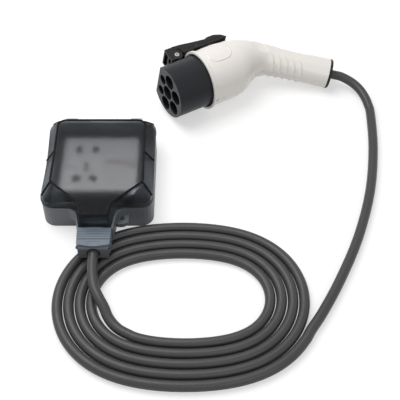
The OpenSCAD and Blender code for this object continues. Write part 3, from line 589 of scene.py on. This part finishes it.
# The far half's collar: the steps' places in the source and in the thin rim, and the radii of its bore.
COLLAR_STEPS = ((54, 42.6), (56.2, 43.4))
COLLAR_BORE, RIM_BORE = 30.5, 29
COLLAR_SPLIT, NEAR_ENOUGH = 31.2, 0.05
# Outline of the raised panel, as back and up, and the radius and sunk depth of its bead.
PANEL = [
    (47.5, 18.5), (50, 21.3), (58, 22), (66, 22.2), (72.5, 19.5), (75.5, 14), (76.5, 7), (75, 0), (70, -4.2),
    (62, -5.1), (55, -4.6), (50.5, -1.5), (48.3, 5), (47, 12),
]
PANEL_STEPS = 6
BEAD_RADIUS, BEAD_SINK = 1.1, 0.35


def plug_point(back, up, side):
    """A place in metres from one in the plug's own frame, in millimetres."""
    return (NOSE_FACE + back * NOSE_BACK + up * PLUG_UP + side * PLUG_SIDE) * MM


def relief(back, up):
    """Height of the finger ridges, or depth of the dish above them, at a place on the near side."""
    lean = math.radians(GRIP_TILT)
    far, rise = back - GRIP_ROOT[0], up - GRIP_ROOT[1]
    x = far * math.cos(lean) - rise * math.sin(lean)
    y = far * math.sin(lean) + rise * math.cos(lean)
    r = math.hypot((x - DISH_CENTRE[0]) / DISH_HALF[0], (y - DISH_CENTRE[1]) / DISH_HALF[1])
    if r < 1:
        return -DISH_DEPTH * (1 - r * r)
    arc = math.sqrt(max(0, RIDGE_ARC ** 2 - (y - RIDGE_MIDDLE) ** 2))
    high = 0.0
    for i in range(RIDGE_COUNT):
        past = x - RIDGE_PITCH * i - arc
        if -RIDGE_RISE < past <= 0:
            high = max(high, ((past + RIDGE_RISE) / RIDGE_RISE) ** 2)
        elif 0 < past < RIDGE_DROP:
            high = max(high, 1 - past / RIDGE_DROP)
    return RIDGE_HEIGHT * high * min(1, max(0, (RIDGE_END - y) / RIDGE_FADE))


def half_ring(work, back, up, tilt, high, wide):
    """Points of one cut through the near half: its outside from seam to seam, and its inside back again."""
    lean = math.radians(tilt)
    outer, inner = [], []
    for turn in TURNS:
        rise, side = math.sin(math.radians(turn)), -math.cos(math.radians(turn))
        grow = 0.0
        if back > RELIEF_START:
            grow = relief(back + high * rise * math.sin(lean), up + high * rise * math.cos(lean))
        if turn in (TURNS[0], TURNS[-1]) and back > GROOVE_START:
            grow = -GROOVE_DEPTH
        for row, h, w in ((outer, high + grow, wide + grow), (inner, high - WALL, wide - WALL)):
            place = plug_point(back + h * rise * math.sin(lean), up + h * rise * math.cos(lean), w * side)
            row.append(work.verts.new(place))
    return outer + inner[::-1]


def near_half(made):
    """The near half of the plug's body: a thin rim, a dish at the handle's root and soft finger ridges."""
    rings = RIM + curve_through([row[:5] for row in SECTIONS], [row[5] for row in SECTIONS[1:]])
    work = bmesh.new()
    loops = [half_ring(work, *ring) for ring in rings]
    count = len(loops[0])
    for one, two in zip(loops, loops[1:]):
        for j in range(count):
            k = (j + 1) % count
            work.faces.new((one[j], one[k], two[k], two[j]))
    for loop in (loops[0], loops[-1]):
        for j in range(count // 2 - 1):
            work.faces.new((loop[j], loop[j + 1], loop[count - 2 - j], loop[count - 1 - j]))
    bmesh.ops.recalc_face_normals(work, faces=work.faces)
    mesh = bpy.data.meshes.new("body_half_near_skin")
    return skin_of("body_half_near", mesh, work, made, crease=38.0)


def thin_rim(piece):
    """Draws the far half's collar back to the same thin rim, inside and out."""
    for vertex in piece.data.vertices:
        at = vertex.co / MM - NOSE_FACE
        back, up, side = at.dot(NOSE_BACK), at.dot(PLUG_UP), at.dot(PLUG_SIDE)
        if math.hypot(up, side) > COLLAR_SPLIT:
            for old, new in COLLAR_STEPS:
                if abs(back - old) < NEAR_ENOUGH:
                    vertex.co += (new - old) * MM * NOSE_BACK
        elif abs(back - COLLAR_STEPS[0][0]) < NEAR_ENOUGH:
            vertex.co = plug_point(back, up * RIM_BORE / COLLAR_BORE, side * RIM_BORE / COLLAR_BORE)


def panel_bead(half, made):
    """The raised outline of the plug's bare side panel."""
    tree = surface_tree(half.data)
    rows = PANEL[-1:] + PANEL + PANEL[:2]
    outline = curve_through(rows, [PANEL_STEPS] * (len(rows) - 1))[PANEL_STEPS:-PANEL_STEPS]
    outside = 60
    hits = [tree.ray_cast(plug_point(back, up, outside), -PLUG_SIDE)[0] for back, up in outline]
    path = [hit - BEAD_SINK * MM * PLUG_SIDE for hit in hits]
    return line_on("body_half_near", "panel_bead", [path], BEAD_RADIUS * MM, made, closed=True)


class ADAPTER_OT_shell(bpy.types.Operator):
    """Finish the two halves of the plug's body and its end ring"""
    bl_idname = "adapter.shell"
    bl_label = "Plug body"

    def execute(self, context):
        s = context.scene.adapter_plug
        made = moulded(
            "Body plastic", s.body, rough=0.17, second=0.97, spread=0.06, grain=0.05, scale=900, edge=0.0004,
            coat=0.6)
        panel_bead(near_half(made), made)
        thin_rim(rounded_copy("body_half_far", made))
        dress(["end_ring"], moulded("Ring plastic", s.trim, rough=0.38, specular=0.25))
        dress(["handle_gland"], moulded("Gland rubber", s.trim, rough=0.6, grain=0.3))
        screws = ["shell_screw_1", "shell_screw_2", "shell_screw_3"]
        dress(screws, metal("Body screw", (0.5, 0.5, 0.5), rough=0.35))
        return {"FINISHED"}


class ADAPTER_OT_latch(bpy.types.Operator):
    """Finish the latch lever, its hook and its bracket"""
    bl_idname = "adapter.latch"
    bl_label = "Latch"

    def execute(self, context):
        s = context.scene.adapter_plug
        lever = moulded("Lever plastic", s.lever, rough=0.16, second=1.4, grain=0.1, scale=1500, specular=0.3)
        dress(["latch_lever"], lever)
        rounded_copy("top_strip", lever)
        dress(["latch_hook", "latch_bracket"], moulded("Hook plastic", s.trim, grain=0.3, specular=0.25))
        dress(["latch_pin"], metal("Blackened pin", (0.05, 0.05, 0.05), rough=0.4))
        dress(["latch_spring"], metal("Spring steel", (0.6, 0.6, 0.6), rough=0.3))
        dress(["hook_screw"], metal("Hook screw", (0.42, 0.42, 0.43), rough=0.3))
        return {"FINISHED"}


# Socket box

# The base's room and its neck under the lid, which take painted shade, in plan from the box's centre, and the
# width of their edges.
ROOM = ((-52.9, -55), (52.9, 54))
CHANNEL = ((-11.8, -84), (11.8, -50))
SOFT_EDGE = 0.3
# Painted shade in and round the sockets' outer holes, as a place from the box's centre and half sizes.
SHADED_MOUTHS = [
    ((-22.4, 17.2), (3.9, 4.6)), ((-5.6, 17.2), (3.9, 4.6)),
    ((-22.4, -22), (5, 4.5)), ((-5.6, -22), (5, 4.5)),
]
HOLE_SHADE_COLOUR, HOLE_SHADE_STRENGTH = (0.012, 0.012, 0.013), 0.98


def inside_mask(nodes, link, where, low, high):
    """1 within a plan rectangle and 0 outside it."""
    parts = nodes.new("ShaderNodeSeparateXYZ")
    link(where, parts.inputs["Vector"])
    masks = []
    for axis, centre, a, b in (("X", BOX_ACROSS, low[0], high[0]), ("Y", BOX_MIDDLE, low[1], high[1])):
        for edge, way in ((centre + a, SOFT_EDGE), (centre + b, -SOFT_EDGE)):
            masks.append(span(nodes, link, parts.outputs[axis], (edge - way) * MM, (edge + way) * MM))
    return joined(nodes, link, "MINIMUM", masks)


def base_material(s):
    """Base plastic, with painted shade: darker on the floor and the walls under the lid."""
    made = moulded("Base plastic", s.base, rough=0.42, grain=0.35, scale=2200)
    nodes, link = made.node_tree.nodes, made.node_tree.links.new
    where = object_place(nodes)
    masks = [inside_mask(nodes, link, where, *place) for place in (ROOM, CHANNEL)]
    # Painted shade laid over the room and the neck under the lid.
    return recolour(made, joined(nodes, link, "MAXIMUM", masks), s.inside)


def plate_material(s):
    """Plate plastic, with painted shade in and round the sockets' outer holes."""
    made = moulded("Plate plastic", s.plate, rough=0.35)
    nodes, link = made.node_tree.nodes, made.node_tree.links.new
    where = object_place(nodes)
    masks = []
    for (x, y), (wide, tall) in SHADED_MOUTHS:
        place = nodes.new("ShaderNodeMapping")
        place.inputs["Scale"].default_value = (1 / (wide * MM), 1 / (tall * MM), 0)
        place.inputs["Location"].default_value = (-(BOX_ACROSS + x) / wide, -(BOX_MIDDLE + y) / tall, 0)
        link(where, place.inputs["Vector"])
        away = nodes.new("ShaderNodeVectorMath")
        away.operation = "LENGTH"
        link(place.outputs["Vector"], away.inputs[0])
        masks.append(span(nodes, link, away.outputs["Value"], 0.94, 1.0, HOLE_SHADE_STRENGTH, 0.0))
    # Painted shade of the holes' recesses laid over the plate's colour.
    return recolour(made, joined(nodes, link, "MAXIMUM", masks), HOLE_SHADE_COLOUR)


class ADAPTER_OT_box(bpy.types.Operator):
    """Finish the box's base, gasket, gland and clamp"""
    bl_idname = "adapter.box"
    bl_label = "Box base"

    def execute(self, context):
        s = context.scene.adapter_box
        steel = [
            "clamp_screw_left", "clamp_screw_right", "plate_screw_left", "plate_screw_right", "rocker_pin",
        ]
        pins = ["hinge_pin_left", "hinge_pin_right", "clip_pin_left", "clip_pin_right"]
        dress(["box_base"], base_material(s))
        dress(["box_seal", "box_gland"], moulded("Seal rubber", (0.01, 0.01, 0.01), rough=0.65))
        dress(["cord_clamp"], moulded("Clamp nylon", (0.7, 0.7, 0.68)))
        dress(steel, metal("Box steel", (0.6, 0.6, 0.61), rough=0.3))
        dress(pins, metal("Dark pin", (0.06, 0.065, 0.07), rough=0.45))
        return {"FINISHED"}


class ADAPTER_OT_socket(bpy.types.Operator):
    """Finish the socket plate, its contacts and the rocker"""
    bl_idname = "adapter.socket"
    bl_label = "Sockets and rocker"

    def execute(self, context):
        s = context.scene.adapter_box
        contacts = ["contact_live", "contact_neutral", "contact_earth"]
        dress(["socket_plate", "rocker"], plate_material(s))
        dress(["socket_core"], moulded("Core plastic", (0.03, 0.03, 0.033), rough=0.5))
        dress(contacts, metal("Contact brass", (0.6, 0.42, 0.15), rough=0.35))
        dress(["rocker_lens"], moulded("Indicator lens", s.lens, rough=0.2, grain=0.05))
        return {"FINISHED"}


# Refraction of the thin lid, and how much of the lamps' light it lets through.
LID_IOR, LID_CLEARNESS = 1.18, 0.8
# Heights between which the lid's skirt turns into its window, in millimetres.
WINDOW_FADE = (40.5, 42.5)
# Where the window's upper shade starts and is fullest, forward and back of the box's centre, and its
# strength there and share of the skirt's colour.
SHADE_FROM, SHADE_TO, SHADE_MOST, SHADE_SHARE = -16, 26, 0.8, 0.55
# Two steps in which the lid darkens over the neck as painted shade: from, to and the darkness that each adds.
NECK_SHADE_STEPS = ((-46, -52, 0.6), (-54, -86, 0.4))
# Lines that run out from the window, in plan, as a start beside the box's centre and a way. Then how far
# they reach, the step and depth at which they are laid on the skirt, and how far down it they go.
RIB_LINES = [((15.4, 45), (0, 1)), ((42, 2), (1, 0)), ((42.5, 43.5), (1, 1)), ((42.5, -35.5), (1, -0.9))]
RIB_REACH, RIB_STEP, RIB_SINK, RIB_DROP = 30, 0.5, 0.35, 14
# How far the window's line lies under the lid's top, and how far all lines stay within the lid's sides.
LINE_SINK, LINE_MARGIN = 0.5, 0.3
# The clip's two marks, in plan from the box's centre, and how they are drawn.
OVAL_CENTRE, OVAL_HALF, OVAL_STEP = -88.4, (6, 1.9), 10
FRAME_MARK = ((-6, -103.6), (-6, -99.6), (6, -99.6), (6, -103.6))
MARK_STEP, MARK_SINK, MARK_RADIUS = 0.4, 0.12, 0.3


def smoke_material(s):
    """Smoked lid: lighter over the window, denser over the skirt, with painted shade at the window's top and
    over the neck, and open to the lamps' light.
    """
    made = moulded("Lid smoke", s.lid, rough=0.56, spread=0.05, grain=0.1, scale=1200, edge=0.0)
    nodes, link = made.node_tree.nodes, made.node_tree.links.new
    shader = nodes["Principled BSDF"]
    shader.inputs["Transmission Weight"].default_value = 1.0
    shader.inputs["IOR"].default_value = LID_IOR
    parts = nodes.new("ShaderNodeSeparateXYZ")
    link(object_place(nodes), parts.inputs["Vector"])

    def along(start, end, most):
        """A value that grows from 0 to most between two places beside the box's centre, front to back."""
        low, high = (BOX_MIDDLE + start) * MM, (BOX_MIDDLE + end) * MM
        return span(nodes, link, parts.outputs["Y"], low, high, 0.0, most)

    window = span(nodes, link, parts.outputs["Z"], WINDOW_FADE[0] * MM, WINDOW_FADE[1] * MM)
    glass = tint(nodes, link, window, (*s.skirt, 1), (*s.lid, 1))
    shade = along(SHADE_FROM, SHADE_TO, SHADE_MOST)
    glass = tint(nodes, link, shade, glass, (*scaled(s.skirt, SHADE_SHARE), 1))
    # Painted shade over the neck, in two steps.
    painted_neck_shade = math_node(nodes, link, "ADD", *[along(*step) for step in NECK_SHADE_STEPS])
    link(tint(nodes, link, painted_neck_shade, glass, (*s.painted_neck_shade, 1)), shader.inputs["Base Color"])
    clear = nodes.new("ShaderNodeBsdfTransparent")
    clear.inputs["Color"].default_value = (LID_CLEARNESS,) * 3 + (1,)
    mix = nodes.new("ShaderNodeMixShader")
    link(nodes.new("ShaderNodeLightPath").outputs["Is Shadow Ray"], mix.inputs["Fac"])
    link(shader.outputs["BSDF"], mix.inputs[1])
    link(clear.outputs["BSDF"], mix.inputs[2])
    link(mix.outputs["Shader"], nodes["Material Output"].inputs["Surface"])
    return made


def box_point(x, y):
    """A plan place in metres from one in millimetres beside the box's centre."""
    return Vector(((BOX_ACROSS + x) * MM, (BOX_MIDDLE + y) * MM, 0))


def window_outline():
    """The edge of the lid's flat top, in order round it."""
    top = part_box("lid")[1][2]
    flat = [v.co for v in NODES["lid"].data.vertices if v.co.z > top - 1e-5]
    corners = {(round(co.x, 6), round(co.y, 6)) for co in flat}
    eye = box_point(0, -30)
    loop = sorted(corners, key=lambda p: math.atan2(p[1] - eye.y, p[0] - eye.x))
    return [Vector((*p, top - LINE_SINK * MM)) for p in loop]


def rib_paths(margin):
    """Lines that run down the lid's skirt from its window, within its sides by a margin."""
    tree = surface_tree(NODES["lid"].data)
    low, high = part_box("lid")
    paths = []
    for (x, y), (dx, dy) in RIB_LINES:
        for side in (-1, 1):
            start = box_point(side * x, y)
            end = start + Vector((side * dx, dy, 0)).normalized() * RIB_REACH * MM
            paths.append([
                p for p in draped(tree, [start, end], RIB_STEP * MM, RIB_SINK * MM)
                if high[2] - RIB_DROP * MM < p.z < high[2] - LINE_SINK * MM
                and low[0] + margin < p.x < high[0] - margin and low[1] + margin < p.y < high[1] - margin])
    return paths


def clip_paths():
    """The oval and the open rectangle moulded on the clip."""
    turns = [math.radians(turn) for turn in range(0, 361, OVAL_STEP)]
    oval = [box_point(OVAL_HALF[0] * math.cos(a), OVAL_CENTRE + OVAL_HALF[1] * math.sin(a)) for a in turns]
    frame_line = [box_point(x, y) for x, y in FRAME_MARK]
    tree = surface_tree(NODES["clip"].data)
    return [draped(tree, path, MARK_STEP * MM, MARK_SINK * MM) for path in (oval, frame_line)]


class ADAPTER_OT_lid(bpy.types.Operator):
    """Finish the smoked lid and the clip"""
    bl_idname = "adapter.lid"
    bl_label = "Lid and clip"

    def execute(self, context):
        s = context.scene.adapter_box
        rounded_copy("lid", smoke_material(s), crease=20.0)
        dress(["clip"], moulded("Clip plastic", s.clip, rough=0.42, grain=0.3, scale=2200))
        seam = moulded("Seam", s.seam, rough=0.55, grain=0.05, specular=0.12)
        half = s.seam_width / 2
        line_on("lid", "window_line", [window_outline()], half, seam, closed=True)
        line_on("lid", "rib_lines", rib_paths(half + LINE_MARGIN * MM), half, seam)
        mark = moulded("Clip mark", scaled(s.clip, 0.7))
        line_on("clip", "clip_marks", clip_paths(), MARK_RADIUS * MM, mark)
        return {"FINISHED"}


# Stage

FLOOR_HALF = 3
# Lamps, as a name, a place in metres from the camera's target and a diameter.
LAMPS = [("key", (-0.35, 0.25, 0.95), 0.9), ("fill", (0.4, -0.8, 0.7), 0.8)]


def floor_material(s):
    """White paper, which keeps the shadows and glows just enough to be seen as white."""
    made = bpy.data.materials.new("Floor paper")
    made.use_nodes = True
    nodes, link = made.node_tree.nodes, made.node_tree.links.new
    shader = nodes["Principled BSDF"]
    for label, value in (
        ("Base Color", (*s.floor, 1)), ("Roughness", 0.9), ("Specular IOR Level", 0.1),
        ("Emission Color", (1, 1, 1, 1)),
    ):
        shader.inputs[label].default_value = value
    glow = math_node(nodes, link, "MULTIPLY", seen_rays(nodes, link), s.floor_lift)
    link(glow, shader.inputs["Emission Strength"])
    return made


def white_world(s):
    """A world that is seen white and lights with its own strength."""
    world = bpy.data.worlds.new("studio")
    world.use_nodes = True
    nodes, link = world.node_tree.nodes, world.node_tree.links.new
    back = nodes["Background"]
    back.inputs["Color"].default_value = (1, 1, 1, 1)
    link(span(nodes, link, seen_rays(nodes, link), 0.0, 1.0, s.world, 1.0), back.inputs["Strength"])
    return world


class ADAPTER_OT_stage(bpy.types.Operator):
    """Set the floor, the lamps and the white surroundings"""
    bl_idname = "adapter.stage"
    bl_label = "Stage"

    def execute(self, context):
        s = context.scene.adapter_stage
        scene = context.scene
        scene.view_settings.view_transform = "Standard"
        scene.world = white_world(s)
        mesh = bpy.data.meshes.new("floor")
        corners = [(x * FLOOR_HALF, y * FLOOR_HALF, 0) for x, y in ((-1, -1), (1, -1), (1, 1), (-1, 1))]
        mesh.from_pydata(corners, [], [(0, 1, 2, 3)])
        floor = bpy.data.objects.new("floor", mesh)
        scene.collection.objects.link(floor)
        mesh.materials.append(floor_material(s))
        target = Vector(scene.adapter_view.target)
        for name, place, size in LAMPS:
            data = bpy.data.lights.new(name, "AREA")
            data.shape, data.size, data.energy = "DISK", size, getattr(s, name)
            lamp = bpy.data.objects.new(name, data)
            lamp.matrix_world = facing(target + Vector(place), target)
            scene.collection.objects.link(lamp)
        return {"FINISHED"}


# Add-on

class ADAPTER_PT_panel(bpy.types.Panel):
    """Sizes, colours and steps of the adapter"""
    bl_idname = "ADAPTER_PT_panel"
    bl_label = "Vehicle-to-load adapter"
    bl_space_type = "VIEW_3D"
    bl_region_type = "UI"
    bl_category = "Adapter"

    def draw(self, context):
        for group, cls in SETTINGS.items():
            box = self.layout.box()
            for label in cls.__annotations__:
                box.prop(getattr(context.scene, group), label)
        for operator in OPERATORS:
            self.layout.operator(operator.bl_idname)


SETTINGS = {
    "adapter_view": ViewSettings, "adapter_cable": CableSettings, "adapter_plug": PlugSettings,
    "adapter_box": BoxSettings, "adapter_stage": StageSettings,
}
OPERATORS = (
    ADAPTER_OT_camera, ADAPTER_OT_cable, ADAPTER_OT_nose, ADAPTER_OT_shell, ADAPTER_OT_latch, ADAPTER_OT_box,
    ADAPTER_OT_socket, ADAPTER_OT_lid, ADAPTER_OT_stage,
)


def register():
    """Adds the settings, the operators and the panel to Blender."""
    for cls in (*SETTINGS.values(), *OPERATORS, ADAPTER_PT_panel):
        bpy.utils.register_class(cls)
    for name, cls in SETTINGS.items():
        setattr(bpy.types.Scene, name, PointerProperty(type=cls))


def unregister():
    """Takes them out again."""
    for name in SETTINGS:
        delattr(bpy.types.Scene, name)
    for cls in reversed((*SETTINGS.values(), *OPERATORS, ADAPTER_PT_panel)):
        bpy.utils.unregister_class(cls)


def main():
    """Builds the whole scene."""
    register()
    bpy.ops.adapter.camera()
    bpy.ops.adapter.cable()
    bpy.ops.adapter.nose()
    bpy.ops.adapter.shell()
    bpy.ops.adapter.latch()
    bpy.ops.adapter.box()
    bpy.ops.adapter.socket()
    bpy.ops.adapter.lid()
    bpy.ops.adapter.stage()


if __name__ == "__main__":
    main()
